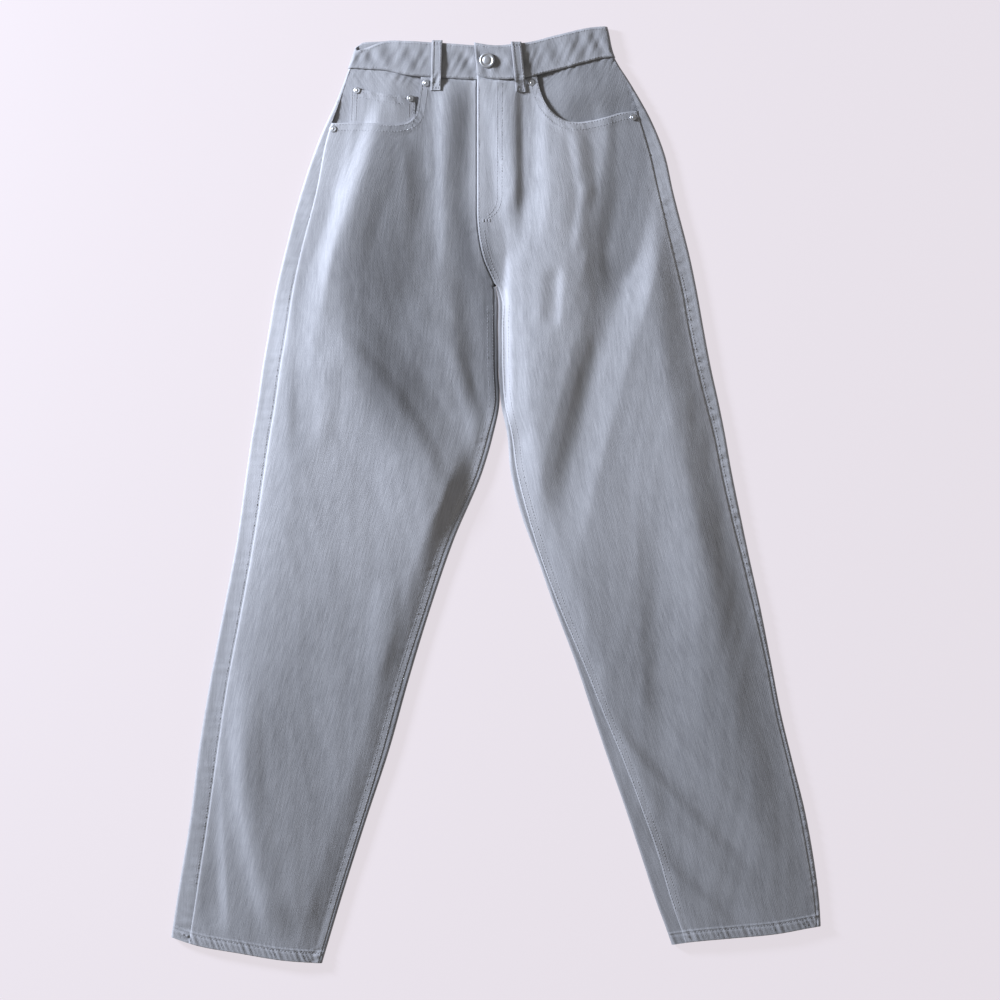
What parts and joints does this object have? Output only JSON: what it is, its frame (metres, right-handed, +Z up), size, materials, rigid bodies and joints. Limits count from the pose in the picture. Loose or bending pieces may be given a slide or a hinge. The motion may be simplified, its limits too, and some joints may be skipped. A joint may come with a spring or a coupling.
{
  "type": "tapered jeans",
  "caption": "High-rise tapered jeans in pale grey-blue denim, laid flat on their back with the front up, legs apart.",
  "frame": {"origin": "centre of the bounding box in X and Y, on the surface that the jeans lie on", "axes": "+X towards the wearer's left, +Y from the hems to the waist, +Z up from the surface, out of the front of the jeans"},
  "size_m": [0.7326, 1.056, 0.0224],
  "materials": {
    "denim": "washed, matt right-hand twill",
    "zip_tape": "plain woven tape",
    "nickel": "satin"
  },
  "bodies": {
    "root": {"front_panel_right": "denim", "front_panel_left": "denim", "back_panel_right": "denim", "back_panel_left": "denim", "yoke_right": "denim", "yoke_left": "denim", "hip_facing_right": "denim", "hip_facing_left": "denim", "coin_pocket": "denim", "fly_shield": "denim", "zip_tape": "zip_tape", "waistband": "denim", "belt_loop_front_right": "denim", "belt_loop_front_left": "denim", "belt_loop_back_right": "denim", "belt_loop_back_middle": "denim", "belt_loop_back_left": "denim", "back_pocket_right": "denim", "back_pocket_left": "denim", "waist_button": "nickel", "rivet_1": "nickel", "rivet_2": "nickel", "rivet_3": "nickel", "rivet_4": "nickel", "rivet_5": "nickel", "rivet_6": "nickel"}
  },
  "joints": []
}
